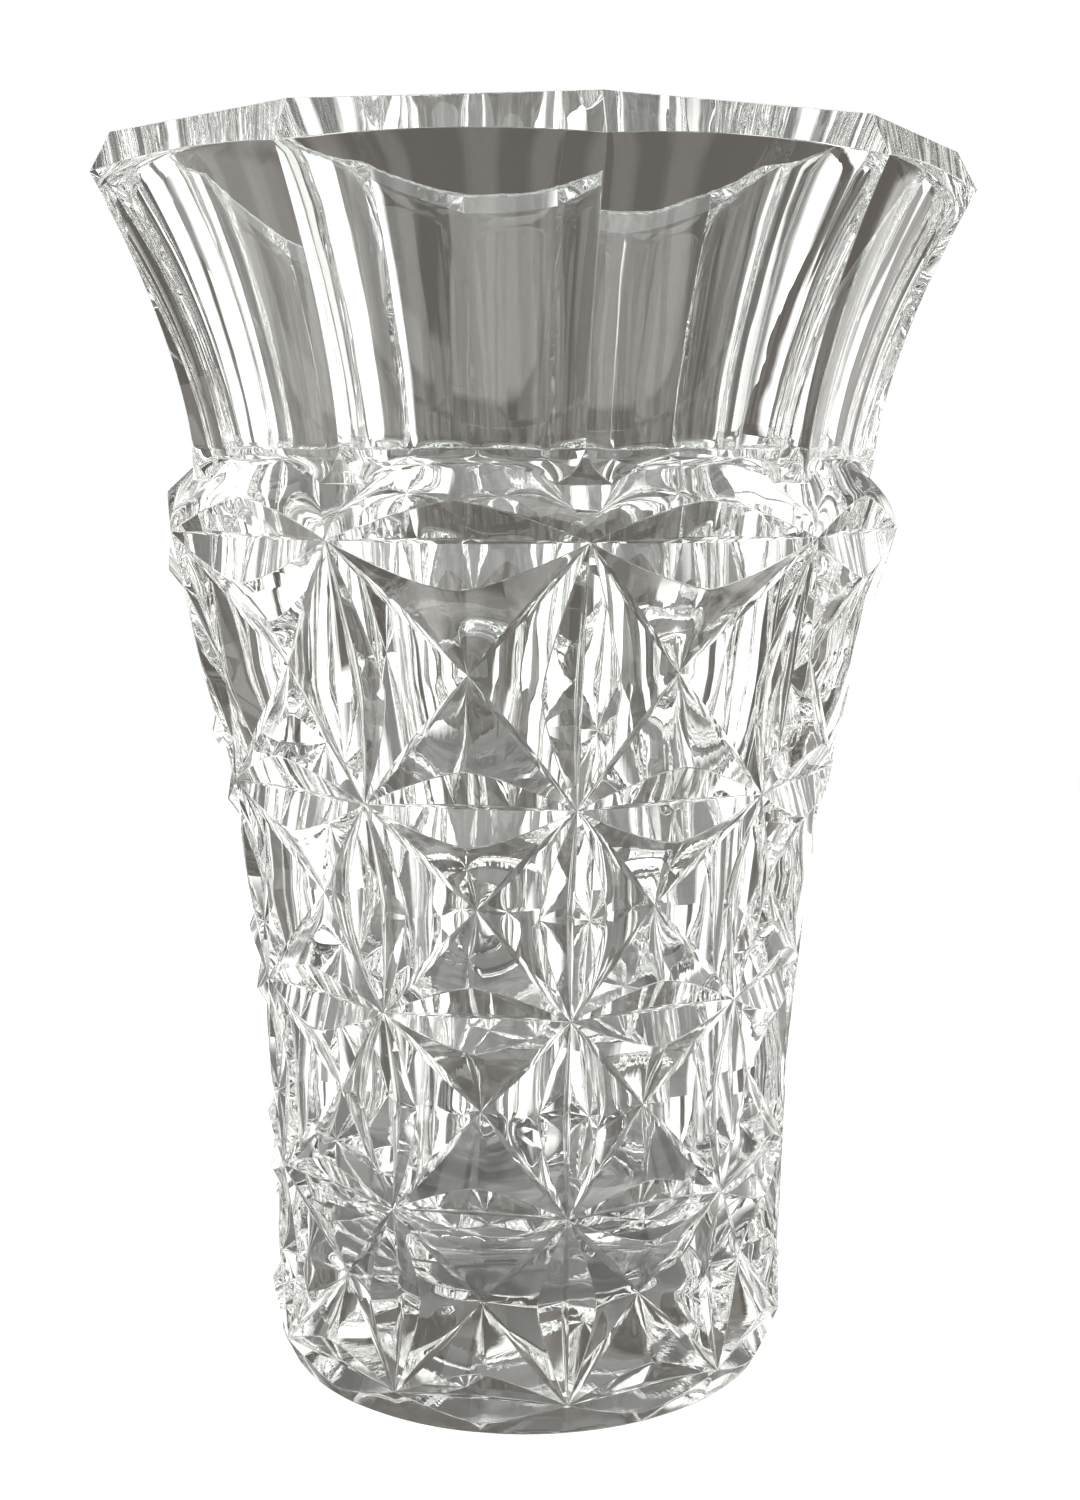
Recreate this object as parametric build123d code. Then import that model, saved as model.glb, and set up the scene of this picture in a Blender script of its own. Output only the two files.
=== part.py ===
from build123d import *

import os
from math import cos, pi, radians, sin

# A heavy cut crystal vase, in millimetres, standing on z = 0 with its axis on Z.
# It is one piece of glass. The same wheel cuts are repeated on ten sides around
# the axis, and the first column of star points faces -Y.

SIDES = 10
PITCH = 2 * pi / SIDES
HEIGHT = 300.0

# Rim: a ten-sided bevel above the flutes. Radii are measured to the corners.
RIM_RADIUS = 103.2
BEVEL_RADIUS = 108.0
BEVEL_HEIGHT = HEIGHT - 8.8
# How far the hollow of a flute lifts the lower edge of the bevel, as a share of the bevel.
BEVEL_ARCH = 0.2

# Flutes: ten shallow hollows that meet in sharp ridges and flare like a trumpet.
FLUTE_FOOT = 229.5
FLUTE_HOLLOW = 2.0
FLUTE_LEVELS = 6
RIDGE_FOOT_RADIUS = 85.4
RIDGE_FLARE_START = 225.0
RIDGE_FLARE_POWER = 1.6

# Neck: a narrow band under the flutes. Each ridge ends on it in a short spur.
NECK_TOP = 228.0
NECK_FOOT = 223.4
NECK_RADIUS = 80.6
NECK_FOOT_RADIUS = 84.8
SPUR_RADIUS = 88.0
SPUR_HEIGHT = 224.2

# Body: the round blank that the cuts start from, and the edge of its shoulder ledge.
WAIST_RADIUS = 66.6
WAIST_HEIGHT = 30.0
SHOULDER_RADIUS = 91.6
SHOULDER_HEIGHT = 211.5
BODY_FLARE_POWER = 2.2
LEDGE_RADIUS = 88.4
LEDGE_HEIGHT = 220.0

# Rows of star points from the foot up, and the widest level of the upright cuts between them.
STAR_HEIGHTS = (9.5, 55.0, 103.0, 152.5, SHOULDER_HEIGHT)
UPRIGHT_LEVELS = (33.5, 79.3, 128.0, 178.6)
UPRIGHT_HALF_ANGLE = radians(6.0)

# What a cut leaves of the blank's radius at its deepest point.
LEVEL_CUT_LEFT = 0.93
UPRIGHT_CUT_LEFT = 0.943
CROSSING_LEFT = 0.906
# Half height of a level cut, as a share of the blank's radius.
LEVEL_CUT_HALF_HEIGHT = 0.114
# Shape of a curved edge: 1 is straight from its tip to its middle, 2 is a parabola.
EDGE_FULLNESS = 1.4
# Straight pieces that stand for one curved edge, from one star point to the next.
EDGE_STEPS = 4
SHARES = [step / EDGE_STEPS for step in range(EDGE_STEPS + 1)]

# Foot: a plain band from the lowest stars in to the flat base.
BASE_RADIUS = 61.8
FOOT_CUT_HEIGHT = 3.8
FOOT_CUT_RADIUS = 64.2

# Cavity: a round hollow from its floor to the rim, as radius and height.
CAVITY_FLOOR = 27.0
CAVITY_FLOOR_RADIUS = 38.0
CAVITY_WALL = (
    (49.5, 42),
    (52, 90),
    (56, 152),
    (61, 205),
    (67, 245),
    (75, 270),
    (90, HEIGHT),
)
CAVITY_RIM_SLOPE = (6, 11)


def at(radius, turn, z):
    """The point at a radius and a height, turned from -Y by an angle."""
    return Vector(radius * sin(turn), -radius * cos(turn), z)


def mix(start, end, share):
    """The point that divides the line from start to end."""
    return start * (1 - share) + end * share


def hump(share):
    """A parabola that is 0 at both ends of an edge and 1 in its middle."""
    return 4 * share * (1 - share)


def blank_radius(z):
    """Radius of the uncut round body at a height."""
    rise = max(z - WAIST_HEIGHT, 0) / (SHOULDER_HEIGHT - WAIST_HEIGHT)
    return WAIST_RADIUS + (SHOULDER_RADIUS - WAIST_RADIUS) * rise**BODY_FLARE_POWER


def ridge_radius(z):
    """Radius of the ridges between the flutes at a height."""
    rise = (z - RIDGE_FLARE_START) / (BEVEL_HEIGHT - RIDGE_FLARE_START)
    return RIDGE_FOOT_RADIUS + (BEVEL_RADIUS - RIDGE_FOOT_RADIUS) * rise**RIDGE_FLARE_POWER


def bowed(start, middle, end):
    """Points of a curved edge that leaves start, passes middle halfway and reaches end."""
    bow = middle - mix(start, end, 0.5)
    return [mix(start, end, t) + bow * (1 - abs(2 * t - 1) ** EDGE_FULLNESS) for t in SHARES]


def triangle(a, b, c):
    """One flat facet, or nothing where two of its corners meet."""
    shortest = min((a - b).length, (b - c).length, (c - a).length)
    return [Face(Wire.make_polygon([a, b, c]))] if shortest > 1e-6 else []


def band(upper, lower):
    """Facets between two edges that have the same number of points."""
    facets = []
    for i in range(len(upper) - 1):
        facets += triangle(upper[i], lower[i], lower[i + 1])
        facets += triangle(upper[i], lower[i + 1], upper[i + 1])
    return facets


def fan(tip, edge):
    """Facets from one point to every piece of an edge."""
    return [facet for a, b in zip(edge, edge[1:]) for facet in triangle(tip, a, b)]


def star(row, turn):
    """One star point."""
    return at(blank_radius(STAR_HEIGHTS[row]), turn, STAR_HEIGHTS[row])


def level_cut(row, turn):
    """Lower edge, deepest line and upper edge of the level cut between two stars of a row."""
    z = STAR_HEIGHTS[row]
    half = LEVEL_CUT_HALF_HEIGHT * blank_radius(z)
    middle = turn + PITCH / 2
    lower = at(blank_radius(z - half), middle, z - half)
    upper = at(blank_radius(z + half), middle, z + half)
    if row == 0:
        lower = at(FOOT_CUT_RADIUS, middle, FOOT_CUT_HEIGHT)
    if row == len(STAR_HEIGHTS) - 1:
        upper = at(LEDGE_RADIUS, middle, LEDGE_HEIGHT)
    deepest = at(LEVEL_CUT_LEFT * blank_radius(z), middle, z)
    return [bowed(star(row, turn), point, star(row, turn + PITCH)) for point in (lower, deepest, upper)]


def upright_cut(row, turn):
    """Left edge, deepest line and right edge of the upright cut from a star to the one above."""
    z = UPRIGHT_LEVELS[row]
    left = at(blank_radius(z), turn - UPRIGHT_HALF_ANGLE, z)
    right = at(blank_radius(z), turn + UPRIGHT_HALF_ANGLE, z)
    deepest = at(UPRIGHT_CUT_LEFT * blank_radius(z), turn, z)
    return [bowed(star(row, turn), point, star(row + 1, turn)) for point in (left, deepest, right)]


def walls(edges):
    """The two walls of one pointed cut."""
    return band(edges[0], edges[1]) + band(edges[1], edges[2])


def cell(row, turn):
    """The sunk diamond between four stars, whose facets meet at a crossing."""
    z = (STAR_HEIGHTS[row] + STAR_HEIGHTS[row + 1]) / 2
    crossing = at(CROSSING_LEFT * blank_radius(z), turn + PITCH / 2, z)
    below = level_cut(row, turn)[2]
    above = level_cut(row + 1, turn)[0]
    left = upright_cut(row, turn)[2]
    right = upright_cut(row, turn + PITCH)[0]
    return [facet for edge in (below, above, left, right) for facet in fan(crossing, edge)]


def bevel(turn):
    """Upper and lower edge of one side of the bevel. The lower one arches over its flute."""
    upper, lower = [], []
    for share in SHARES:
        high = mix(at(RIM_RADIUS, turn, HEIGHT), at(RIM_RADIUS, turn + PITCH, HEIGHT), share)
        low = mix(at(BEVEL_RADIUS, turn, BEVEL_HEIGHT), at(BEVEL_RADIUS, turn + PITCH, BEVEL_HEIGHT), share)
        upper.append(high)
        lower.append(mix(low, high, BEVEL_ARCH * hump(share)))
    return upper, lower


def flute_line(turn, z, top_edge):
    """One level line across a flute. Its arch fades out from the bevel to the foot."""
    fade = (z - FLUTE_FOOT) / (BEVEL_HEIGHT - FLUTE_FOOT)
    inward = at(-FLUTE_HOLLOW, turn + PITCH / 2, 0)
    points = []
    for share, top in zip(SHARES, top_edge):
        chord = mix(at(ridge_radius(z), turn, z), at(ridge_radius(z), turn + PITCH, z), share)
        lift = Vector(0, 0, fade * (top.Z - BEVEL_HEIGHT))
        points.append(chord + inward * hump(share) + lift)
    return points


def neck_line(turn, radius, z, corner_radius, corner_z):
    """A round line across one side, with its two ends on the spurs."""
    ends = [at(corner_radius, turn + share * PITCH, corner_z) for share in (0, 1)]
    return [ends[0], *(at(radius, turn + share * PITCH, z) for share in SHARES[1:-1]), ends[1]]


def upper_side(turn):
    """Bevel, flute, neck and ledge of one side."""
    rim_edge, flute_top = bevel(turn)
    lines = [rim_edge, flute_top]
    for level in range(1, FLUTE_LEVELS + 1):
        z = BEVEL_HEIGHT + (FLUTE_FOOT - BEVEL_HEIGHT) * level / FLUTE_LEVELS
        lines.append(flute_line(turn, z, flute_top))
    spur_middle = (ridge_radius(FLUTE_FOOT) + SPUR_RADIUS) / 2
    lines.append(neck_line(turn, NECK_RADIUS, NECK_TOP, spur_middle, NECK_TOP))
    lines.append(neck_line(turn, NECK_FOOT_RADIUS, NECK_FOOT, SPUR_RADIUS, SPUR_HEIGHT))
    lines.append(level_cut(len(STAR_HEIGHTS) - 1, turn)[2])
    return [facet for upper, lower in zip(lines, lines[1:]) for facet in band(upper, lower)]


def body_side(turn):
    """Every cut of one side from the shoulder to the foot."""
    facets = []
    for row in range(len(STAR_HEIGHTS)):
        facets += walls(level_cut(row, turn))
    for row in range(len(UPRIGHT_LEVELS)):
        facets += walls(upright_cut(row, turn))
        facets += cell(row, turn)
    return facets


def base_edge(turn):
    """The edge of the flat base under one side."""
    return [at(BASE_RADIUS, turn + share * PITCH, 0) for share in SHARES]


def faceted_blank():
    """The whole outside as a solid, with a flat rim and a flat base, before it is hollowed."""
    facets, rim, base = [], [], []
    for side in range(SIDES):
        turn = side * PITCH
        facets += upper_side(turn)
        facets += body_side(turn)
        facets += band(level_cut(0, turn)[0], base_edge(turn))
        rim += bevel(turn)[0][:-1]
        base += base_edge(turn)[:-1]
    facets.append(Face(Wire.make_polygon(rim)))
    facets.append(Face(Wire.make_polygon(base)))
    return Solid(Shell(facets))


def cavity():
    """The round hollow inside, carried a little above the rim so that it opens it."""
    floor_end = (CAVITY_FLOOR_RADIUS, CAVITY_FLOOR)
    rim_radius = CAVITY_WALL[-1][0]
    with BuildPart() as hollow:
        with BuildSketch(Plane.XZ):
            with BuildLine():
                Line((0, CAVITY_FLOOR), floor_end)
                Spline(floor_end, *CAVITY_WALL, tangents=[(1, 0), CAVITY_RIM_SLOPE])
                Polyline((rim_radius, HEIGHT), (rim_radius, HEIGHT + 1), (0, HEIGHT + 1), (0, CAVITY_FLOOR))
            make_face()
        revolve(axis=Axis.Z)
    return hollow.part


vase = faceted_blank() - cavity()
os.makedirs("parts", exist_ok=True)
export_step(vase, "parts/crystal_body.step")
print("crystal_body volume", round(vase.volume), "valid", vase.is_valid)
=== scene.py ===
import math

import bpy
import numpy as np
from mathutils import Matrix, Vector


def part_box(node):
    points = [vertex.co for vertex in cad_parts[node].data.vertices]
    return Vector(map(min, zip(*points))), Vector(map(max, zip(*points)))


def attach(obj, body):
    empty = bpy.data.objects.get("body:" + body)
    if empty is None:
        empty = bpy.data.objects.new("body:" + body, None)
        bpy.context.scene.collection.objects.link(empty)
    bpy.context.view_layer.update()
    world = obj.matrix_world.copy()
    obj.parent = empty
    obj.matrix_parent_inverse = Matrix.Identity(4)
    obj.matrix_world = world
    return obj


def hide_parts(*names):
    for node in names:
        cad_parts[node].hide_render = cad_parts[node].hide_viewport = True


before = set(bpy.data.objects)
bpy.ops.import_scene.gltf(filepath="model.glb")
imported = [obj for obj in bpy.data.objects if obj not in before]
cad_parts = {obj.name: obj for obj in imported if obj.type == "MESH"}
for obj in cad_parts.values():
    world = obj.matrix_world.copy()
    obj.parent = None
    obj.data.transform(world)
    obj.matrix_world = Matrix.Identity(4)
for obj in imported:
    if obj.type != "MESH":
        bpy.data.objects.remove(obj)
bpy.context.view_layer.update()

bl_info = {
    "name": "Cut crystal vase",
    "version": (1, 0, 0),
    "blender": (4, 5, 0),
    "location": "View3D > Sidebar > Vase",
    "description": "Builds a heavy cut crystal vase and a pale studio for it",
    "category": "Add Mesh",
}

# The CAD model's box, and the top corner of its one solid, which gives the height of the vase.
CAD_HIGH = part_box("crystal_body")[1]

# Ten sides are cut into the blank, each the same as the next.
SIDES = 10
PITCH = 2 * math.pi / SIDES

# Steps along an edge, across a wall, down a facet, round a softened edge, down a flute, down the bevel,
# across the flat rim and down the foot band, and from knot to knot of the cavity.
EDGE_STEPS = 20
WALL_STEPS = 4
FACET_STEPS = 9
SOFT_STEPS = 3
FLUTE_STEPS = 24
BEVEL_STEPS = 6
BAND_STEPS = 4
CAVITY_STEPS = 9

# The round blank is straight up to the waist, and swells from there to the shoulder.
WAIST_HEIGHT = 0.03
BLANK_FULLNESS = 2.2

# The ridges between the flutes flare from this height to the bevel.
FLARE_FOOT = 0.225
FLARE_FULLNESS = 1.6

# Radius and height of the lowest level cut's lower edge, and of the highest one's upper edge.
FOOT_EDGE = (0.0642, 0.0038)
SHOULDER_EDGE = (0.0884, 0.22)

# Height at which a ridge starts to widen into the spur at its foot, and shares across a spur.
SPUR_TIP = 0.231
SPUR_SHARES = np.linspace(0, 1, 7)

# Angles in the lines of the run-outs are divided by this, so that they count about as much as the lengths.
TURN_DIVISOR = 10

# Points nearer than this are one point of the skin. The shift keeps round sizes off the edge of a cell.
WELD = 2e-6
WELD_SHIFT = 0.37

# The studio: how far the floor reaches, and the thin gap of air left between it and the flat base.
FLOOR_RADIUS = 0.9
FLOOR_SIDES = 96
FLOOR_GAP = 0.0004

# Light of the floor as the camera sees it directly. It is high enough to run into the backdrop.
FLOOR_GLOW = 0.85
# Through the glass the floor is painted darker, as painted shade, with painted pools of light as the middle
# and half of their turn, in degrees.
FLOOR_SHADE = 0.2
FLOOR_DIM_GLOW = 0.04
POOL_GLOW = 1.4
POOL_START = 0.13
POOL_START_SOFTNESS = 0.04
POOL_SOFTNESS = 0.12
POOLS = ((-148, 12), (-112, 12), (-70, 12), (-14, 13), (28, 14), (100, 13), (138, 12))

# Panels of the studio: middle and half of the turn, the same of the rise, in degrees, and strength.
# A turn of 0 is -Y and 90 is +X, and a rise of 0 is level.
PANELS = (
    (-148, 14, 12, 42, 1.5),
    (-117, 13, 10, 42, 1.5),
    (136, 14, 56, 20, 1.9),
    (104, 13, 46, 25, 1.8),
    (112, 24, 1, 14, 1.5),
    (-65, 11, 46, 34, 1.6),
    (-38, 11, 46, 34, 1.6),
    (42, 11, 12, 26, 1.5),
    (70, 11, 12, 26, 1.5),
    (-88, 22, -12, 14, 1.4),
    (0, 34, 46, 20, 2.8),
)
PANEL_SOFTNESS = 0.04
# The ceiling is where the upward share of a direction is larger than this.
CEILING_START = 0.93
CEILING_STRENGTH = 0.8
ROOM_COLOUR = (0.122, 0.109, 0.098, 1)
PANEL_COLOUR = (1, 0.985, 0.95, 1)
POOL_COLOUR = (1, 0.985, 0.955, 1)


class VaseSizes(bpy.types.PropertyGroup):
    """Sizes of the vase."""

    height: bpy.props.FloatProperty(
        name="Height",
        description="Height from the flat base to the rim",
        default=CAD_HIGH.z,
        unit="LENGTH",
    )
    rim_radius: bpy.props.FloatProperty(
        name="Rim radius",
        description="Radius to the corners of the rim",
        default=0.1032,
        unit="LENGTH",
    )
    bevel_radius: bpy.props.FloatProperty(
        name="Bevel radius",
        description="Radius to the widest corners, under the bevel",
        default=0.108,
        unit="LENGTH",
    )
    bevel_depth: bpy.props.FloatProperty(
        name="Bevel depth",
        description="Height of the bevel under the rim",
        default=0.0088,
        unit="LENGTH",
    )
    bevel_arch: bpy.props.FloatProperty(
        name="Bevel arch",
        description="How far a flute lifts the lower edge of the bevel, as a share of it",
        default=0.2,
        subtype="FACTOR",
    )
    flute_foot: bpy.props.FloatProperty(
        name="Flute foot",
        description="Height at which the flutes run out",
        default=0.2295,
        unit="LENGTH",
    )
    flute_hollow: bpy.props.FloatProperty(
        name="Flute hollow",
        description="How deep a flute is cut behind the line between its ridges",
        default=0.002,
        unit="LENGTH",
    )
    ridge_foot_radius: bpy.props.FloatProperty(
        name="Ridge foot radius",
        description="Radius of the ridges where the flare starts",
        default=0.0854,
        unit="LENGTH",
    )
    waist_radius: bpy.props.FloatProperty(
        name="Waist radius",
        description="Radius of the round blank near the foot",
        default=0.0666,
        unit="LENGTH",
    )
    shoulder_radius: bpy.props.FloatProperty(
        name="Shoulder radius",
        description="Radius of the round blank at the top row of star points",
        default=0.0916,
        unit="LENGTH",
    )
    star_heights: bpy.props.FloatVectorProperty(
        name="Star heights",
        description="Heights of the rows of star points",
        size=5,
        default=(0.0095, 0.055, 0.103, 0.1525, 0.2115),
        unit="LENGTH",
    )
    upright_levels: bpy.props.FloatVectorProperty(
        name="Upright cut levels",
        description="Heights at which the upright cuts are widest",
        size=4,
        default=(0.0335, 0.0793, 0.128, 0.1786),
        unit="LENGTH",
    )
    upright_half_angle: bpy.props.FloatProperty(
        name="Upright cut half angle",
        description="Half of the angle that an upright cut spans at its widest",
        default=math.radians(6),
        unit="ROTATION",
    )
    level_cut_left: bpy.props.FloatProperty(
        name="Level cut depth",
        description="What a level cut leaves of the radius",
        default=0.93,
        subtype="FACTOR",
    )
    level_cut_half: bpy.props.FloatProperty(
        name="Level cut half height",
        description="Half height of a level cut as a share of the radius",
        default=0.114,
        subtype="FACTOR",
    )
    upright_cut_left: bpy.props.FloatProperty(
        name="Upright cut depth",
        description="What an upright cut leaves of the radius",
        default=0.943,
        subtype="FACTOR",
    )
    crossing_left: bpy.props.FloatProperty(
        name="Crossing depth",
        description="What the crossing slanted cuts leave of the radius",
        default=0.906,
        subtype="FACTOR",
    )
    edge_fullness: bpy.props.FloatProperty(
        name="Edge fullness",
        description="1 is straight from a tip to the middle of an edge, 2 is a parabola",
        default=1.4,
    )
    slanted_groove: bpy.props.FloatProperty(
        name="Slanted groove width",
        description="Widest part of the rounded bottom of a slanted cut",
        default=0.0018,
        unit="LENGTH",
    )
    level_groove: bpy.props.FloatProperty(
        name="Level groove width",
        description="Widest part of the rounded bottom of a level cut",
        default=0.0014,
        unit="LENGTH",
    )
    upright_groove: bpy.props.FloatProperty(
        name="Upright groove width",
        description="Widest part of the rounded bottom of an upright cut",
        default=0.002,
        unit="LENGTH",
    )
    edge_softness: bpy.props.FloatProperty(
        name="Edge softness",
        description="Width of the polished band along a raised edge",
        default=0.0004,
        unit="LENGTH",
    )
    facet_hollow: bpy.props.FloatProperty(
        name="Facet hollow",
        description="How far the wheel hollows out the middle of a facet",
        default=0.0003,
        unit="LENGTH",
    )
    base_radius: bpy.props.FloatProperty(
        name="Base radius",
        description="Radius of the flat base",
        default=0.0618,
        unit="LENGTH",
    )
    cavity_floor: bpy.props.FloatProperty(
        name="Cavity floor",
        description="Thickness of the glass under the cavity",
        default=0.027,
        unit="LENGTH",
    )


class VaseFinish(bpy.types.PropertyGroup):
    """Colours and finish of the glass and the studio."""

    tint: bpy.props.FloatVectorProperty(
        name="Glass tint",
        description="Colour that the glass lets through",
        size=3,
        default=(0.985, 0.995, 0.99),
        subtype="COLOR",
        min=0,
        max=1,
    )
    bending: bpy.props.FloatProperty(
        name="Index of refraction",
        description="How strongly the glass bends light",
        default=1.55,
    )
    ripple: bpy.props.FloatProperty(
        name="Polish ripple",
        description="Height of the faint waves that hand polishing leaves",
        default=0.00006,
        unit="LENGTH",
        precision=6,
    )
    upright_lines: bpy.props.FloatProperty(
        name="Upright lines",
        description="Height of the fine lines that run up the vase",
        default=0.00001,
        unit="LENGTH",
        precision=6,
    )
    floor_colour: bpy.props.FloatVectorProperty(
        name="Floor colour",
        description="Colour of the plain floor where it is seen directly",
        size=3,
        default=(0.92, 0.92, 0.915),
        subtype="COLOR",
        min=0,
        max=1,
    )
    wall_colour: bpy.props.FloatVectorProperty(
        name="Backdrop colour",
        description="Colour of the plain backdrop",
        size=3,
        default=(1, 1, 1),
        subtype="COLOR",
        min=0,
        max=1,
    )


def at(radius, turn, z):
    """Points at a radius and a height, turned from -Y towards +X."""
    radius, turn, z = np.broadcast_arrays(radius, turn, z)
    return np.stack([radius * np.sin(turn), -radius * np.cos(turn), z * 1.0], axis=-1)


def mix(start, end, share):
    """The points that divide the lines from start to end. One share for each point."""
    share = np.asarray(share, float)[..., None]
    return start * (1 - share) + end * share


def hump(share):
    """A parabola that is 0 at both ends and 1 in the middle."""
    return 4 * share * (1 - share)


def plateau(share, power=8):
    """Almost 1 all along, and 0 at both ends."""
    return 1 - np.abs(2 * share - 1) ** power


def even(steps):
    """Equal shares from 0 to 1."""
    return np.linspace(0, 1, steps + 1)


def crowded(steps):
    """Shares from 0 to 1 that lie closer together near the ends."""
    share = even(steps)
    return 0.45 * share + 0.55 * (1 - np.cos(math.pi * share)) / 2


ALONG = crowded(EDGE_STEPS)
DOWN = even(FACET_STEPS)


def length(vectors):
    """Lengths of vectors, never quite 0."""
    return np.maximum(np.linalg.norm(vectors, axis=-1), 1e-12)


class Skin:
    """Collects smooth patches and welds them into one closed skin."""

    def __init__(self):
        self.points = []
        self.known = {}
        self.faces = []
        self.normals = []

    def corner(self, point):
        """The number of a point, shared with any patch that already has it."""
        key = tuple(math.floor(c / WELD + WELD_SHIFT) for c in point)
        if key not in self.known:
            self.known[key] = len(self.points)
            self.points.append(tuple(point))
        return self.known[key]

    def patch(self, grid, toward=None, ring=False):
        """Adds a grid of points as one smooth patch whose outside faces toward a direction."""
        normals = patch_normals(grid, ring)
        middle = grid[grid.shape[0] // 2, grid.shape[1] // 2]
        facing = normals[grid.shape[0] // 2, grid.shape[1] // 2]
        if toward is None:
            toward = middle * (1, 1, 0)
        if np.dot(facing, toward) < 0:
            grid = grid[:, ::-1]
            normals = -normals[:, ::-1]
        numbers = [[self.corner(point) for point in row] for row in grid]
        for i in range(grid.shape[0] - 1):
            for j in range(grid.shape[1] - 1):
                self.face(numbers, normals, ((i, j), (i + 1, j), (i + 1, j + 1), (i, j + 1)))

    def face(self, numbers, normals, places):
        """Adds one face, and leaves out the corners that fall together."""
        ring, facing = [], []
        for i, j in places:
            if numbers[i][j] not in ring:
                ring.append(numbers[i][j])
                facing.append(normals[i, j])
        if len(ring) > 2:
            self.faces.append(ring)
            self.normals.extend(facing)

    def mesh(self, name):
        """The skin as a mesh with its own normals."""
        made = bpy.data.meshes.new(name)
        made.from_pydata(self.points, [], self.faces)
        made.shade_smooth()
        made.normals_split_custom_set([tuple(n) for n in self.normals])
        return made


def slopes(grid, axis, ring=False):
    """How a grid of points runs along one of its directions."""
    if ring and axis == 1:
        closed = np.concatenate([grid[:, -2:-1], grid, grid[:, 1:2]], axis=1)
        return (closed[:, 2:] - closed[:, :-2]) / 2
    return np.gradient(grid, axis=axis)


def patch_normals(grid, ring):
    """Directions square to a smooth grid. A corner where edges meet takes its neighbour's."""
    down = slopes(grid, 0)
    right = slopes(grid, 1, ring)
    # Where a whole row or column falls together, the direction along it comes from the next one.
    for i, near in ((0, 1), (-1, -2)):
        if length(right[i]).max() < 1e-9:
            right[i] = right[near]
        if length(down[:, i]).max() < 1e-9:
            down[:, i] = down[:, near]
    normals = np.cross(down, right)
    size = length(normals)
    good = size > 1e-14
    normals = normals / size[..., None]
    for i, j in np.argwhere(~good):
        inner_i = min(max(i, 1), grid.shape[0] - 2)
        inner_j = min(max(j, 1), grid.shape[1] - 2)
        normals[i, j] = normals[inner_i, inner_j]
    return normals


def blank_radius(sizes, z):
    """Radius of the uncut round body at a height."""
    rise = max(z - WAIST_HEIGHT, 0) / (sizes.star_heights[4] - WAIST_HEIGHT)
    return sizes.waist_radius + (sizes.shoulder_radius - sizes.waist_radius) * rise**BLANK_FULLNESS


def ridge_radius(sizes, z):
    """Radius of the ridges between the flutes at a height."""
    top = sizes.height - sizes.bevel_depth
    rise = (z - FLARE_FOOT) / (top - FLARE_FOOT)
    return sizes.ridge_foot_radius + (sizes.bevel_radius - sizes.ridge_foot_radius) * rise**FLARE_FULLNESS


def bowed(sizes, start, middle, end):
    """Points of a curved edge that leaves start, passes middle halfway and reaches end."""
    bow = middle - (start + end) / 2
    rise = 1 - np.abs(2 * ALONG - 1) ** sizes.edge_fullness
    return mix(start, end, ALONG) + bow * rise[:, None]


def star(sizes, row, turn):
    """One star point."""
    z = sizes.star_heights[row]
    return at(blank_radius(sizes, z), turn, z)


def level_cut(sizes, row, turn):
    """Lower edge, deepest line and upper edge of the level cut between two stars of a row."""
    z = sizes.star_heights[row]
    half = sizes.level_cut_half * blank_radius(sizes, z)
    middle = turn + PITCH / 2
    lower = at(blank_radius(sizes, z - half), middle, z - half)
    upper = at(blank_radius(sizes, z + half), middle, z + half)
    if row == 0:
        lower = at(FOOT_EDGE[0], middle, FOOT_EDGE[1])
    if row == 4:
        upper = at(SHOULDER_EDGE[0], middle, SHOULDER_EDGE[1])
    deepest = at(sizes.level_cut_left * blank_radius(sizes, z), middle, z)
    ends = star(sizes, row, turn), star(sizes, row, turn + PITCH)
    return [bowed(sizes, ends[0], point, ends[1]) for point in (lower, deepest, upper)]


def upright_cut(sizes, row, turn):
    """Left edge, deepest line and right edge of the upright cut from a star to the one above."""
    z = sizes.upright_levels[row]
    radius = blank_radius(sizes, z)
    left = at(radius, turn - sizes.upright_half_angle, z)
    right = at(radius, turn + sizes.upright_half_angle, z)
    deepest = at(sizes.upright_cut_left * radius, turn, z)
    ends = star(sizes, row, turn), star(sizes, row + 1, turn)
    return [bowed(sizes, ends[0], point, ends[1]) for point in (left, deepest, right)]


def crossing(sizes, row, turn):
    """The deepest point between four stars, where two slanted cuts cross."""
    z = (sizes.star_heights[row] + sizes.star_heights[row + 1]) / 2
    return at(sizes.crossing_left * blank_radius(sizes, z), turn + PITCH / 2, z)


def wall(sizes, edge, groove, groove_width):
    """One wall of a pointed cut, from its raised edge to the groove at its bottom."""
    across = groove - edge
    width = length(across)
    soft = sizes.edge_softness / 2 * plateau(ALONG)
    round_bottom = groove_width / 2 * hump(ALONG)
    first = np.minimum(soft / width, 0.2)
    last = 1 - np.minimum(round_bottom / width, 0.4)
    rows = [edge + across * (first + (last - first) * share)[:, None] for share in even(WALL_STEPS)]
    return np.array(rows)


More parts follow.
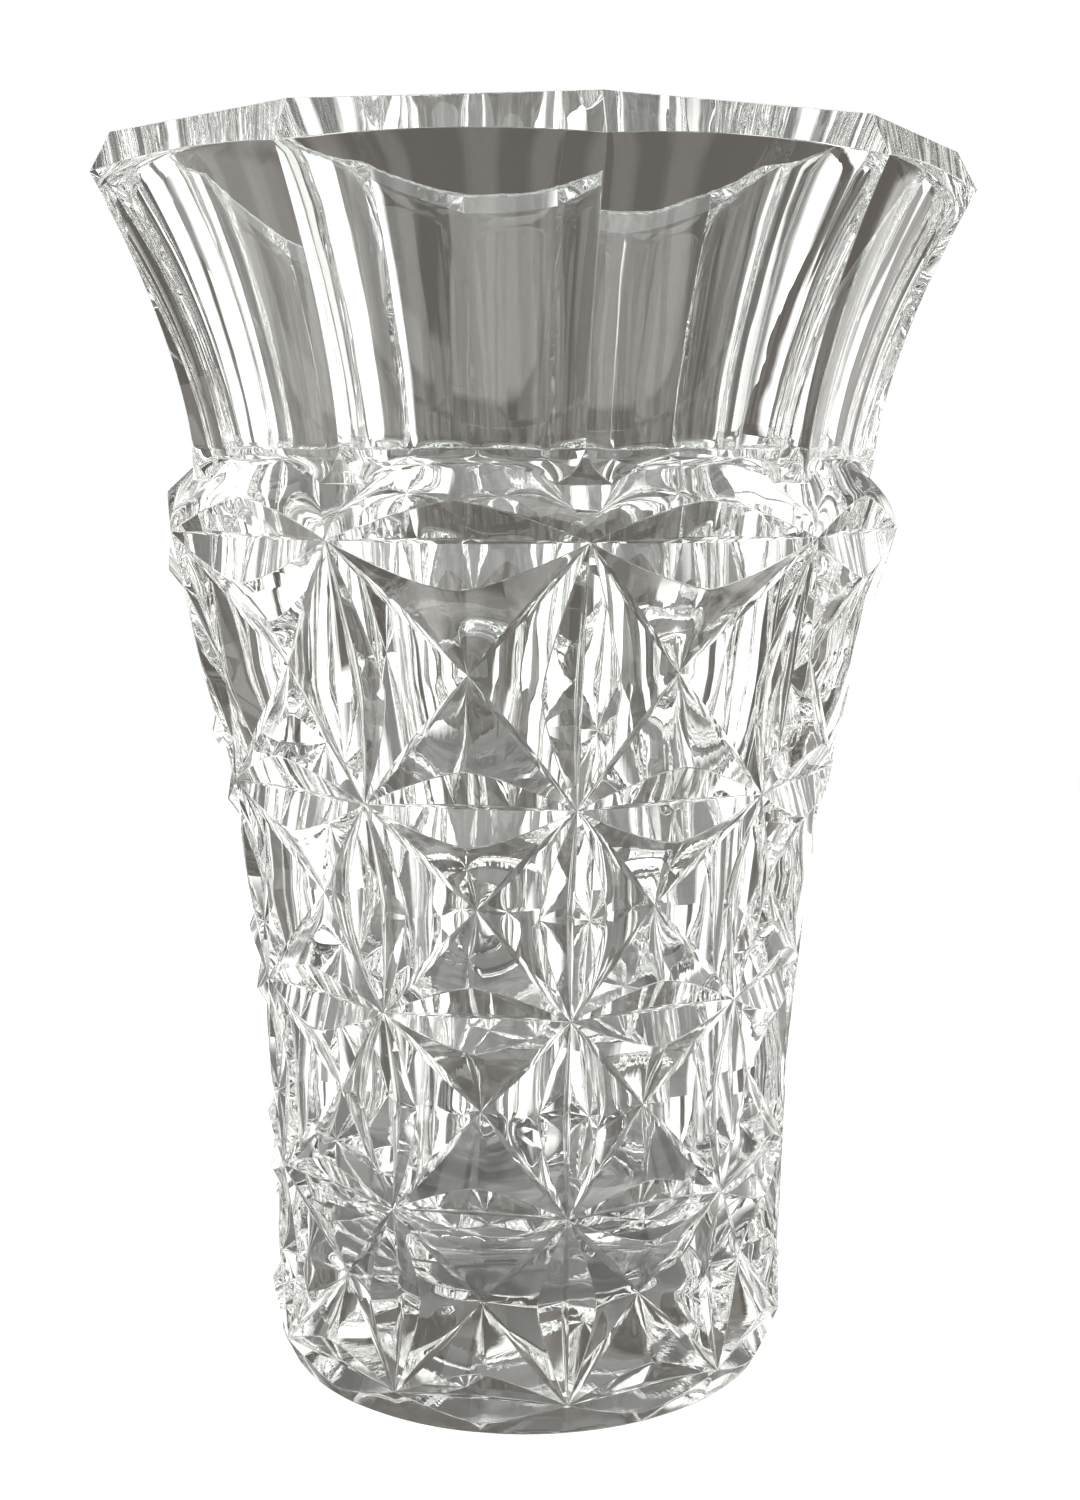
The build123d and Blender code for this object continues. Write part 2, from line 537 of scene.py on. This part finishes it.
def facet(sizes, edge, tip):
    """One facet of a sunk diamond, from its curved edge in to the crossing at its tip."""
    start, end = edge[0], edge[-1]
    soft = sizes.edge_softness / 2 * plateau(ALONG) / length(tip - edge)
    sideways = end - start
    insets = []
    for corner, direction in ((start, sideways), (end, -sideways)):
        line = (tip - corner) / length(tip - corner)
        inward = direction - line * np.dot(direction, line)
        insets.append(inward / length(inward))
    out = np.cross(sideways, tip - start)
    out = out / length(out)
    if np.dot(out, start * (1, 1, 0)) < 0:
        out = -out
    rows = []
    for share in DOWN:
        reach = soft + (1 - soft) * share
        points = mix(edge, tip, reach)
        groove = (sizes.slanted_groove / 2 * hump(reach))[:, None]
        points = points + groove * (1 - ALONG)[:, None] * insets[0]
        points = points + groove * ALONG[:, None] * insets[1]
        hollow = sizes.facet_hollow * hump(ALONG) * hump(share)
        rows.append(points - hollow[:, None] * out)
    return np.array(rows)


def softened(first, corner, last):
    """A rounded band between two patches, curved towards the sharp line it replaces."""
    rows = []
    for share in even(SOFT_STEPS):
        rows.append(first * (1 - share) ** 2 + corner * 2 * share * (1 - share) + last * share**2)
    return np.array(rows)


def both_walls(sizes, cut, groove_width):
    """The two walls of a pointed cut."""
    return [wall(sizes, cut[edge], cut[1], groove_width) for edge in (0, 2)]


def add_cut(skin, cut, walls):
    """Adds the two walls of a pointed cut and the rounded groove between them."""
    for patch in walls:
        skin.patch(patch)
    skin.patch(softened(walls[0][-1], cut[1], walls[1][-1]))


def add_body(skin, sizes):
    """Adds every cut between the foot and the shoulder."""
    for side in range(SIDES):
        turn = side * PITCH
        levels = [level_cut(sizes, row, turn) for row in range(5)]
        level_walls = []
        for cut in levels:
            level_walls.append(both_walls(sizes, cut, sizes.level_groove))
            add_cut(skin, cut, level_walls[-1])
        lefts = [upright_cut(sizes, row, turn) for row in range(4)]
        rights = [upright_cut(sizes, row, turn + PITCH) for row in range(4)]
        for row in range(4):
            left_walls = both_walls(sizes, lefts[row], sizes.upright_groove)
            right_walls = both_walls(sizes, rights[row], sizes.upright_groove)
            add_cut(skin, lefts[row], left_walls)
            tip = crossing(sizes, row, turn)
            # The four facets go round from below, and each edge keeps its own direction.
            edges = (levels[row][2], rights[row][0], levels[row + 1][0], lefts[row][2])
            beside = (level_walls[row][1], right_walls[0], level_walls[row + 1][0], left_walls[1])
            facets = [facet(sizes, edge, tip) for edge in edges]
            for edge, patch, other in zip(edges, facets, beside):
                skin.patch(patch)
                skin.patch(softened(patch[0], edge, other[0]))
            below, right, above, left = facets
            for first, last in (
                (below[:, -1], right[:, 0]),
                (right[:, -1], above[:, -1]),
                (above[:, 0], left[:, -1]),
                (left[:, 0], below[:, 0]),
            ):
                skin.patch(softened(first, mix(first[0], tip, DOWN), last))


def bevel_edges(sizes, turn):
    """Upper and lower edge of one side of the bevel. The lower one arches over its flute."""
    top = sizes.height - sizes.bevel_depth
    end = turn + PITCH
    upper = mix(at(sizes.rim_radius, turn, sizes.height), at(sizes.rim_radius, end, sizes.height), ALONG)
    lower = mix(at(sizes.bevel_radius, turn, top), at(sizes.bevel_radius, end, top), ALONG)
    return upper, mix(lower, upper, sizes.bevel_arch * hump(ALONG))


def flute_line(sizes, turn, z, lift):
    """One level line across a flute."""
    chord = mix(at(ridge_radius(sizes, z), turn, z), at(ridge_radius(sizes, z), turn + PITCH, z), ALONG)
    inward = at(-sizes.flute_hollow, turn + PITCH / 2, 0)
    points = chord + inward * hump(ALONG)[:, None]
    top = sizes.height - sizes.bevel_depth
    fade = (z - sizes.flute_foot) / (top - sizes.flute_foot)
    points[:, 2] += fade * lift
    return points


def across(left, right, middle, fullness):
    """A line from left to right that passes middle halfway, the flatter there the larger its fullness."""
    bow = middle - (left + right) / 2
    return mix(left, right, ALONG) + bow * (1 - np.abs(2 * ALONG - 1) ** fullness)[:, None]


def smooth_line(knots, first_slope, last_slope, steps):
    """A smooth curve through knots, with so many points from each to the next."""
    knots = np.array(knots, float)
    gaps = length(np.diff(knots, axis=0))
    slopes_at = np.zeros_like(knots)
    for i in range(1, len(knots) - 1):
        before = (knots[i] - knots[i - 1]) / gaps[i - 1]
        after = (knots[i + 1] - knots[i]) / gaps[i]
        slopes_at[i] = (before * gaps[i] + after * gaps[i - 1]) / (gaps[i - 1] + gaps[i])
    ends = (knots[1] - knots[0]) / gaps[0], (knots[-1] - knots[-2]) / gaps[-1]
    slopes_at[0] = ends[0] if first_slope is None else first_slope
    slopes_at[-1] = ends[1] if last_slope is None else last_slope
    points = []
    for i in range(len(knots) - 1):
        for t in even(steps)[:-1]:
            ease = t * t * (3 - 2 * t)
            leave = slopes_at[i] * gaps[i] * t * (1 - t) ** 2
            arrive = slopes_at[i + 1] * gaps[i] * t * t * (1 - t)
            points.append(mix(knots[i], knots[i + 1], ease) + leave - arrive)
    points.append(knots[-1])
    return np.array(points)


def drawn_in(grid, border, amounts):
    """The patch with one border moved inwards, which leaves room for a softened edge."""
    grid = grid.copy()
    turned = grid if border in ("first", "last") else grid.swapaxes(0, 1)
    near, far = (0, 1) if border in ("first", "left") else (-1, -2)
    step = turned[far] - turned[near]
    size = length(step)
    turned[near] += step * (np.minimum(amounts, 0.4 * size) / size)[:, None]
    return grid


def runout_lines(sizes):
    """Lines that shape the foot of a flute and the ledge, first at the spur and then at the middle.

    The edges of spur and ledge are divided angle, radius and height. The two middles are radius and height.
    """
    tip = ridge_radius(sizes, SPUR_TIP)
    foot_middle = flute_line(sizes, -PITCH / 2, SPUR_TIP, 0)[EDGE_STEPS // 2]
    spur = [(0, tip, SPUR_TIP), (0.0006, 0.08585, 0.2294), (0.0014, 0.0856, 0.2279)]
    spur += [(0.003, 0.0852, 0.226), (0.0051, 0.0848, 0.2245), (0.0073, 0.0844, 0.2232)]
    middle = [(-foot_middle[1], SPUR_TIP), (0.0798, 0.2296), (0.0799, 0.2287)]
    middle += [(0.0802, 0.228), (0.0807, 0.2273), (0.0815, 0.2265)]
    star_z = sizes.star_heights[4]
    ledge = [(0.0073, 0.0844, 0.2232), (0.0058, 0.0861, 0.2214), (0.0042, 0.0879, 0.2194)]
    ledge += [(0.0025, 0.0896, 0.2174), (0.001, 0.0908, 0.2147), (0, blank_radius(sizes, star_z), star_z)]
    hollow = [(0.0815, 0.2265), (0.0829, 0.2252), (0.0843, 0.2239), (0.0857, 0.2226)]
    hollow += [(0.0871, 0.2213), (0.0884, 0.22)]
    return [smooth_line(line, None, None, 2) for line in (spur, middle, ledge, hollow)]


def runout_rows(lines, turn, fullness):
    """Rows of points between the two spurs of one side, from the first level of the lines to the last."""
    border, middle = lines
    rows = []
    for (turned, radius, z), (middle_radius, middle_z), full in zip(border, middle, fullness):
        left = at(radius, turn + turned * TURN_DIVISOR, z)
        right = at(radius, turn + PITCH - turned * TURN_DIVISOR, z)
        rows.append(across(left, right, at(middle_radius, turn + PITCH / 2, middle_z), full))
    return rows


def add_top(skin, sizes):
    """Adds the bevel, the flutes and the spurs and ledge under them. Gives the rim's edge."""
    top = sizes.height - sizes.bevel_depth
    soft = sizes.edge_softness / 2
    along_soft = soft * plateau(ALONG)
    spur, middle, ledge, hollow = runout_lines(sizes)
    flute_rows = FLUTE_STEPS + len(spur)
    # The softened edge beside a flute is sharp where the ridge meets the bevel, the spur and the ledge.
    side_soft = soft * np.concatenate([plateau(even(FLUTE_STEPS)), plateau(even(len(spur) - 1))[1:]])
    flutes, bevels, ridges = [], [], []
    for side in range(SIDES):
        turn = side * PITCH
        upper, lower = bevel_edges(sizes, turn)
        lift = lower[:, 2] - top
        levels = [top + (SPUR_TIP - top) * share for share in even(FLUTE_STEPS)]
        rows = [flute_line(sizes, turn, z, lift) for z in levels]
        rows[0] = lower
        rows += runout_rows((spur, middle), turn, np.linspace(2, 5, len(spur)))[1:]
        grid = np.array(rows)
        ridges.append((grid[:, 0].copy(), grid[:, -1].copy()))
        grid = drawn_in(drawn_in(grid, "left", side_soft), "right", side_soft)
        flutes.append(drawn_in(grid, "first", along_soft))
        bevel = np.array([mix(upper, lower, np.full(len(ALONG), share)) for share in even(BEVEL_STEPS)])
        for border in ("left", "right"):
            bevel = drawn_in(bevel, border, soft * plateau(even(BEVEL_STEPS)))
        bevels.append(drawn_in(drawn_in(bevel, "first", along_soft), "last", along_soft))
        skin.patch(flutes[-1])
        skin.patch(bevels[-1])
        skin.patch(softened(bevels[-1][-1], lower, flutes[-1][0]))
        add_ledge(skin, sizes, turn, ledge, hollow, grid[-1])
    for side in range(SIDES):
        turn = side * PITCH
        left, right = ridges[side - 1][1], ridges[side][0]
        tip_row = FLUTE_STEPS + 1
        before, after = flutes[side - 1], flutes[side]
        skin.patch(softened(before[:tip_row, -1], right[:tip_row], after[:tip_row, 0]))
        add_spur(skin, sizes, turn, left[tip_row - 1 :], right[tip_row - 1 :], before, after)
        corner = mix(bevel_edges(sizes, turn)[0][0], bevel_edges(sizes, turn)[1][0], even(BEVEL_STEPS))
        skin.patch(softened(bevels[side - 1][:, -1], corner, bevels[side][:, 0]))
    return bevels


def add_spur(skin, sizes, turn, left, right, left_flute, right_flute):
    """Adds the three-cornered spur at the foot of a ridge, with its softened edges and what is under it."""
    soft = sizes.edge_softness / 2
    side_soft = soft * plateau(even(len(left) - 1))
    rows = []
    for i in range(len(left)):
        width = (right[i] - left[i])[None]
        radius = np.hypot(left[i][0], left[i][1])
        line = left[i] + width * SPUR_SHARES[:, None]
        line[:, :2] *= (radius / np.hypot(line[:, 0], line[:, 1]))[:, None]
        rows.append(line)
    base = rows[-1].copy()
    grid = np.array(rows)
    # The patch is drawn in by a share of its own width near the tip, where it is narrow.
    for border in ("left", "right"):
        grid = drawn_in(grid, border, side_soft)
    grid = drawn_in(grid, "last", soft * plateau(SPUR_SHARES))
    skin.patch(grid)
    first = len(left_flute) - len(left)
    skin.patch(softened(left_flute[first:, -1], left, grid[:, 0]))
    skin.patch(softened(grid[:, -1], right, right_flute[first:, 0]))
    ledge = runout_lines(sizes)[2]
    under = []
    for turned, radius, z in ledge:
        under.append(at(radius, turn + (2 * SPUR_SHARES - 1) * turned * TURN_DIVISOR, z))
    under = np.array(under)
    under[0] = base
    under = drawn_in(under, "first", soft * plateau(SPUR_SHARES))
    skin.patch(under)
    skin.patch(softened(grid[-1], base, under[0]))


def add_ledge(skin, sizes, turn, ledge, hollow, first_row):
    """Adds the ledge of one side, from the foot of its flute to the shoulder edge."""
    rows = runout_rows((ledge, hollow), turn, np.linspace(5, sizes.edge_fullness, len(ledge)))
    rows[0] = first_row
    cut = level_cut(sizes, 4, turn)
    rows[-1] = cut[2]
    grid = drawn_in(np.array(rows), "last", sizes.edge_softness / 2 * plateau(ALONG))
    skin.patch(grid)
    upper_wall = wall(sizes, cut[2], cut[1], sizes.level_groove)
    skin.patch(softened(grid[-1], cut[2], upper_wall[0]))


def cavity_profile(sizes):
    """Radius and height of the cavity wall, from the rim down to the edge of its flat floor."""
    floor = sizes.cavity_floor
    knots = [(0.038, floor), (0.0495, 0.042), (0.052, 0.09), (0.056, 0.152), (0.061, 0.205)]
    knots += [(0.067, 0.245), (0.075, 0.27), (0.09, sizes.height)]
    rise = np.array((6, 11)) / math.sqrt(157)
    return smooth_line(knots, np.array((1, 0)), rise, CAVITY_STEPS)[::-1]


def all_turns():
    """The angle of every column of points round the vase, and the first again."""
    turns = [side * PITCH + ALONG[:-1] * PITCH for side in range(SIDES)]
    return np.concatenate(turns + [[2 * math.pi]])


def joined(lines):
    """The lines of the ten sides as one ring, closed on its first point."""
    ring = np.concatenate([line[:-1] for line in lines])
    return np.concatenate([ring, ring[:1]])


def add_rim_and_cavity(skin, sizes, bevels):
    """Adds the flat rim with its softened edges, and the smooth round cavity."""
    round_edge = 0.0012
    turns = all_turns()
    profile = cavity_profile(sizes)
    mouth = profile[0]
    slope = (profile[1] - mouth) / length(profile[1] - mouth)
    start = mouth + slope * round_edge
    rim = joined([bevel_edges(sizes, side * PITCH)[0] for side in range(SIDES)])
    inner = at(mouth[0] + round_edge, turns, sizes.height)
    rows = np.array([mix(rim, inner, np.full(len(turns), share)) for share in even(BAND_STEPS)])
    soft = np.tile(sizes.edge_softness / 2 * plateau(ALONG)[:-1], SIDES)
    rows = drawn_in(rows, "first", np.append(soft, soft[0]))
    skin.patch(rows, toward=(0, 0, 1))
    bevel_top = joined([bevel[0] for bevel in bevels])
    for side in range(SIDES):
        part = slice(side * EDGE_STEPS, (side + 1) * EDGE_STEPS + 1)
        skin.patch(softened(rows[0][part], rim[part], bevel_top[part]))
    lower = at(start[0], turns, start[1])
    inwards = -inner[len(turns) // 2] * (1, 1, 0) + (0, 0, 0.05)
    skin.patch(softened(inner, at(mouth[0], turns, sizes.height), lower), toward=inwards, ring=True)
    wall_points = [start] + [point for point in profile[1:] if point[1] < start[1] - 0.0005]
    grid = np.array([at(radius, turns, z) for radius, z in wall_points])
    middle = grid[grid.shape[0] // 2, grid.shape[1] // 2]
    skin.patch(grid, toward=-middle * (1, 1, 0), ring=True)
    floor_radius = wall_points[-1][0]
    floor = [at(floor_radius * share, turns, sizes.cavity_floor) for share in (1, 0.66, 0.33, 0)]
    skin.patch(np.array(floor), toward=(0, 0, 1), ring=True)


def add_foot(skin, sizes):
    """Adds the plain foot band and the flat base."""
    round_edge = 0.0008
    turns = all_turns()
    scallops = joined([level_cut(sizes, 0, side * PITCH)[0] for side in range(SIDES)])
    sharp = at(sizes.base_radius, turns, 0)
    upward = scallops - sharp
    upper = sharp + upward / length(upward)[:, None] * round_edge
    rows = np.array([mix(scallops, upper, np.full(len(turns), share)) for share in even(BAND_STEPS)])
    soft = np.tile(sizes.edge_softness / 2 * plateau(ALONG)[:-1], SIDES)
    rows = drawn_in(rows, "first", np.append(soft, soft[0]))
    skin.patch(rows, ring=True)
    for side in range(SIDES):
        cut = level_cut(sizes, 0, side * PITCH)
        part = slice(side * EDGE_STEPS, (side + 1) * EDGE_STEPS + 1)
        lower_wall = wall(sizes, cut[0], cut[1], sizes.level_groove)
        skin.patch(softened(lower_wall[0], cut[0], rows[0][part]))
    inner = at(sizes.base_radius - round_edge, turns, 0)
    skin.patch(softened(upper, sharp, inner), ring=True)
    base = [at((sizes.base_radius - round_edge) * share, turns, 0) for share in (1, 0.75, 0.5, 0.25, 0)]
    skin.patch(np.array(base), toward=(0, 0, -1), ring=True)


def crystal_glass(finish):
    """Clear lead crystal with a faint cast, faint waves from polishing, and fine upright lines."""
    material = bpy.data.materials.new("lead_crystal")
    material.use_nodes = True
    nodes, links = material.node_tree.nodes, material.node_tree.links
    surface = nodes["Principled BSDF"]
    surface.inputs["IOR"].default_value = finish.bending
    surface.inputs["Transmission Weight"].default_value = 1
    surface.inputs["Roughness"].default_value = 0.0
    where = nodes.new("ShaderNodeTexCoord")

    def wavy(vector, scale, detail):
        texture = nodes.new("ShaderNodeTexNoise")
        texture.inputs["Scale"].default_value = scale
        texture.inputs["Detail"].default_value = detail
        links.new(vector, texture.inputs["Vector"])
        return texture.outputs["Fac"]

    # The cast of the glass is a little stronger in some parts of the melt than in others.
    tint = nodes.new("ShaderNodeValToRGB")
    clear = tuple(finish.tint)
    tint.color_ramp.elements[0].color = (clear[0] * 0.985, clear[1] * 0.995, clear[2] * 0.99, 1)
    tint.color_ramp.elements[1].color = (*clear, 1)
    links.new(wavy(where.outputs["Object"], 28, 2), tint.inputs["Fac"])
    links.new(tint.outputs["Color"], surface.inputs["Base Color"])
    # Fine lines run up the vase, so their texture is laid by angle and hardly changes with height.
    parts = nodes.new("ShaderNodeSeparateXYZ")
    links.new(where.outputs["Object"], parts.inputs["Vector"])
    angle = nodes.new("ShaderNodeMath")
    angle.operation = "ARCTAN2"
    links.new(parts.outputs["X"], angle.inputs[0])
    links.new(parts.outputs["Y"], angle.inputs[1])
    laid = nodes.new("ShaderNodeCombineXYZ")
    links.new(angle.outputs[0], laid.inputs["X"])
    links.new(parts.outputs["Z"], laid.inputs["Z"])
    lines = nodes.new("ShaderNodeBump")
    lines.inputs["Strength"].default_value = 1
    lines.inputs["Distance"].default_value = finish.upright_lines
    links.new(wavy(laid.outputs[0], 42, 1), lines.inputs["Height"])
    ripple = nodes.new("ShaderNodeBump")
    ripple.inputs["Strength"].default_value = 1
    ripple.inputs["Distance"].default_value = finish.ripple
    links.new(wavy(where.outputs["Object"], 70, 1), ripple.inputs["Height"])
    links.new(lines.outputs["Normal"], ripple.inputs["Normal"])
    links.new(ripple.outputs["Normal"], surface.inputs["Normal"])
    return material


class VASE_OT_crystal_body(bpy.types.Operator):
    """Builds the whole vase, which is one piece of cut glass"""

    bl_idname = "vase.crystal_body"
    bl_label = "Crystal body"

    def execute(self, context):
        sizes = context.scene.vase_sizes
        skin = Skin()
        add_body(skin, sizes)
        bevels = add_top(skin, sizes)
        add_rim_and_cavity(skin, sizes, bevels)
        add_foot(skin, sizes)
        vase = bpy.data.objects.new("cut_crystal_vase", skin.mesh("cut_crystal_vase"))
        context.scene.collection.objects.link(vase)
        vase.data.materials.append(crystal_glass(context.scene.vase_finish))
        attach(vase, "root")
        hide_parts("crystal_body")
        return {"FINISHED"}


def maths(tree, operation, first, second=0.0):
    """The output of one Math node on two values or outputs."""
    node = tree.nodes.new("ShaderNodeMath")
    node.operation = operation
    for socket, value in zip(node.inputs, (first, second)):
        if isinstance(value, (int, float)):
            socket.default_value = value
        else:
            tree.links.new(value, socket)
    return node.outputs[0]


def within(tree, value, middle, half, soft):
    """1 where a value is within half of the middle, and 0 outside, with a soft edge."""
    away = maths(tree, "ABSOLUTE", maths(tree, "SUBTRACT", value, middle))
    clamp = tree.nodes.new("ShaderNodeClamp")
    edge = maths(tree, "DIVIDE", maths(tree, "SUBTRACT", half, away), soft)
    tree.links.new(edge, clamp.inputs["Value"])
    return clamp.outputs[0]


def turn_about(tree, x, y):
    """The angle of a direction or place, from -Y towards +X."""
    return maths(tree, "ARCTAN2", x, maths(tree, "MULTIPLY", y, -1.0))


def floor_with_painted_light(finish):
    """A plain pale floor that runs into the backdrop where the camera sees it directly.

    Through the glass it is painted darker, as painted shade, with soft painted pools of light, which give the
    cuts their dark and bright parts.
    """
    material = bpy.data.materials.new("pale_floor")
    material.use_nodes = True
    tree = material.node_tree
    surface = tree.nodes["Principled BSDF"]
    surface.inputs["Roughness"].default_value = 0.6
    surface.inputs["Emission Color"].default_value = POOL_COLOUR
    where = tree.nodes.new("ShaderNodeTexCoord")
    parts = tree.nodes.new("ShaderNodeSeparateXYZ")
    tree.links.new(where.outputs["Object"], parts.inputs["Vector"])
    x, y = parts.outputs[0], parts.outputs[1]
    turn = turn_about(tree, x, y)
    squares = maths(tree, "ADD", maths(tree, "MULTIPLY", x, x), maths(tree, "MULTIPLY", y, y))
    distance = maths(tree, "SQRT", squares)
    pools = 0.0
    # Painted pools of light, laid by their turn about the vase.
    for middle, half in POOLS:
        pool = within(tree, turn, math.radians(middle), math.radians(half), POOL_SOFTNESS)
        pools = maths(tree, "MAXIMUM", pools, pool)
    # The painted pools start only some way out, so under and round the vase the floor stays dark, a painted
    # shadow.
    away = maths(tree, "SUBTRACT", 1.0, within(tree, distance, 0, POOL_START, POOL_START_SOFTNESS))
    pooled = maths(tree, "MULTIPLY", maths(tree, "MULTIPLY", pools, away), POOL_GLOW)
    light = maths(tree, "ADD", pooled, FLOOR_DIM_GLOW)
    # Seen directly the floor keeps its own colour; through the glass its colour is painted shade, a share of
    # its own.
    ray = tree.nodes.new("ShaderNodeLightPath")
    direct = ray.outputs["Is Camera Ray"]
    shade = tree.nodes.new("ShaderNodeMix")
    shade.data_type = "RGBA"
    shade.inputs[6].default_value = (*(FLOOR_SHADE * part for part in finish.floor_colour), 1)
    shade.inputs[7].default_value = (*finish.floor_colour, 1)
    tree.links.new(direct, shade.inputs["Factor"])
    tree.links.new(shade.outputs[2], surface.inputs["Base Color"])
    # Through the glass the floor glows with the painted pools of light and a dim glow; seen directly it glows
    # evenly.
    through = maths(tree, "MULTIPLY", maths(tree, "SUBTRACT", 1.0, direct), light)
    glow = maths(tree, "ADD", maths(tree, "MULTIPLY", direct, FLOOR_GLOW), through)
    tree.links.new(glow, surface.inputs["Emission Strength"])
    return material


def add_floor(context, finish):
    """A round pale floor, a hair under the base."""
    turns = even(FLOOR_SIDES)[:-1] * 2 * math.pi
    points = [tuple(p) for p in at(FLOOR_RADIUS, turns, -FLOOR_GAP)]
    mesh = bpy.data.meshes.new("studio_floor")
    mesh.from_pydata(points, [], [list(range(len(points)))])
    floor = bpy.data.objects.new("studio_floor", mesh)
    context.scene.collection.objects.link(floor)
    mesh.materials.append(floor_with_painted_light(finish))


def studio_light(finish):
    """Soft pale panels in a dim room round the vase, and a white backdrop where it is seen directly."""
    world = bpy.data.worlds.new("studio")
    bpy.context.scene.world = world
    world.use_nodes = True
    tree = world.node_tree
    tree.nodes.clear()
    out = tree.nodes.new("ShaderNodeOutputWorld")
    where = tree.nodes.new("ShaderNodeTexCoord")
    parts = tree.nodes.new("ShaderNodeSeparateXYZ")
    tree.links.new(where.outputs["Generated"], parts.inputs["Vector"])
    x, y, z = parts.outputs
    turn = turn_about(tree, x, y)
    rise = maths(tree, "ARCSINE", z)
    ceiling = maths(tree, "GREATER_THAN", z, CEILING_START)
    total = maths(tree, "MULTIPLY", ceiling, CEILING_STRENGTH)
    for turn_middle, turn_half, rise_middle, rise_half, strength in PANELS:
        sideways = within(tree, turn, math.radians(turn_middle), math.radians(turn_half), PANEL_SOFTNESS)
        upright = within(tree, rise, math.radians(rise_middle), math.radians(rise_half), PANEL_SOFTNESS)
        lit = maths(tree, "MULTIPLY", maths(tree, "MULTIPLY", sideways, upright), strength)
        total = maths(tree, "MAXIMUM", total, lit)
    room = tree.nodes.new("ShaderNodeMix")
    room.data_type = "RGBA"
    room.inputs[6].default_value = ROOM_COLOUR
    room.inputs[7].default_value = PANEL_COLOUR
    tree.links.new(total, room.inputs["Factor"])
    room.clamp_factor = False
    backdrop = tree.nodes.new("ShaderNodeBackground")
    backdrop.inputs["Color"].default_value = (*finish.wall_colour, 1)
    studio = tree.nodes.new("ShaderNodeBackground")
    tree.links.new(room.outputs[2], studio.inputs["Color"])
    choose = tree.nodes.new("ShaderNodeMixShader")
    ray = tree.nodes.new("ShaderNodeLightPath")
    tree.links.new(ray.outputs["Is Camera Ray"], choose.inputs["Fac"])
    tree.links.new(studio.outputs[0], choose.inputs[1])
    tree.links.new(backdrop.outputs[0], choose.inputs[2])
    tree.links.new(choose.outputs[0], out.inputs["Surface"])


def add_camera(context):
    """The camera, a little left of the middle and above the vase."""
    data = bpy.data.cameras.new("camera")
    data.lens = 48.92
    data.sensor_width = 36
    data.clip_start = 0.01
    camera = bpy.data.objects.new("camera", data)
    camera.location = (-0.07396, -0.5085, 0.2319)
    camera.rotation_euler = (math.radians(81.43), math.radians(-0.1), math.radians(-8.647))
    context.scene.collection.objects.link(camera)
    context.scene.camera = camera


class VASE_OT_stage(bpy.types.Operator):
    """Builds the floor, the studio light and the camera"""

    bl_idname = "vase.stage"
    bl_label = "Stage"

    def execute(self, context):
        finish = context.scene.vase_finish
        add_floor(context, finish)
        studio_light(finish)
        add_camera(context)
        scene = context.scene
        scene.view_settings.view_transform = "Standard"
        scene.cycles.use_denoising = True
        scene.cycles.max_bounces = 24
        scene.cycles.transmission_bounces = 24
        scene.cycles.glossy_bounces = 12
        return {"FINISHED"}


class VASE_PT_panel(bpy.types.Panel):
    """Lists the pieces of the vase"""

    bl_idname = "VASE_PT_panel"
    bl_label = "Cut crystal vase"
    bl_space_type = "VIEW_3D"
    bl_region_type = "UI"
    bl_category = "Vase"

    def draw(self, context):
        layout = self.layout
        for group in (context.scene.vase_sizes, context.scene.vase_finish):
            for name in group.__annotations__:
                layout.prop(group, name)
        layout.operator("vase.crystal_body")
        layout.operator("vase.stage")


CLASSES = (VaseSizes, VaseFinish, VASE_OT_crystal_body, VASE_OT_stage, VASE_PT_panel)


def register():
    for cls in CLASSES:
        bpy.utils.register_class(cls)
    bpy.types.Scene.vase_sizes = bpy.props.PointerProperty(type=VaseSizes)
    bpy.types.Scene.vase_finish = bpy.props.PointerProperty(type=VaseFinish)


def unregister():
    del bpy.types.Scene.vase_finish
    del bpy.types.Scene.vase_sizes
    for cls in reversed(CLASSES):
        bpy.utils.unregister_class(cls)


def main():
    """Builds every piece and the stage."""
    register()
    bpy.ops.vase.crystal_body()
    bpy.ops.vase.stage()


if __name__ == "__main__":
    main()
